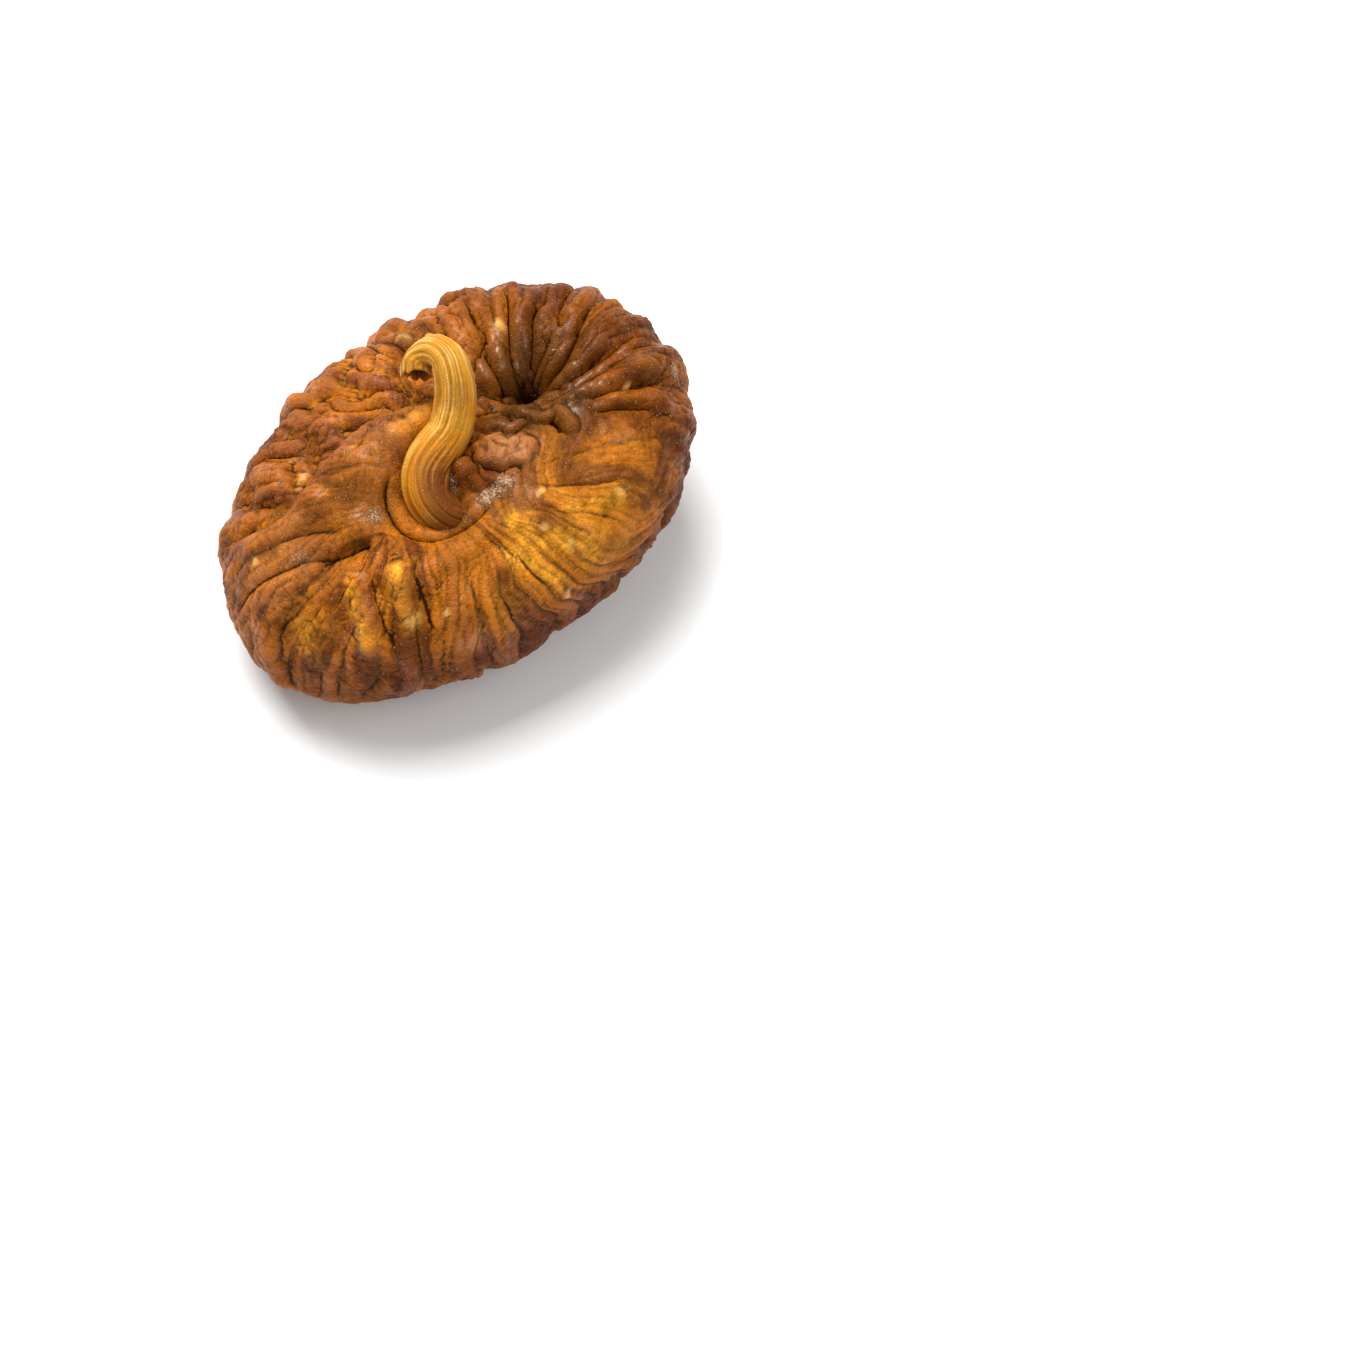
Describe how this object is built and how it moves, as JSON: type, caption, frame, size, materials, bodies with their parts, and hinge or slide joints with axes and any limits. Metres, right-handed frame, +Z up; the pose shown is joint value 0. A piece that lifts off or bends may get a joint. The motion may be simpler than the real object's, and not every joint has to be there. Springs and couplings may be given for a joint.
{
  "type": "fig",
  "caption": "Dried fig pressed to an oval cushion, with radial pleats, a sunken dimple, a rolled shoulder and a bent ribbed stalk, lying on a small flat spot.",
  "frame": {"origin": "middle of the bounding box's underside, level with the flat spot the fig rests on", "axes": "+X along the fig's long side, toward the end with the dimple; +Y across it, toward the side the stalk leans to; +Z up, out of the crown"},
  "size_m": [0.0494, 0.0338, 0.0287],
  "materials": {
    "skin": "wrinkled, leathery and slightly sticky, amber where it is thin, with a fine sugar bloom",
    "stalk": "dry, straw-coloured, ribbed lengthwise"
  },
  "bodies": {
    "root": {"fruit": "skin", "stem": "stalk"}
  },
  "joints": []
}
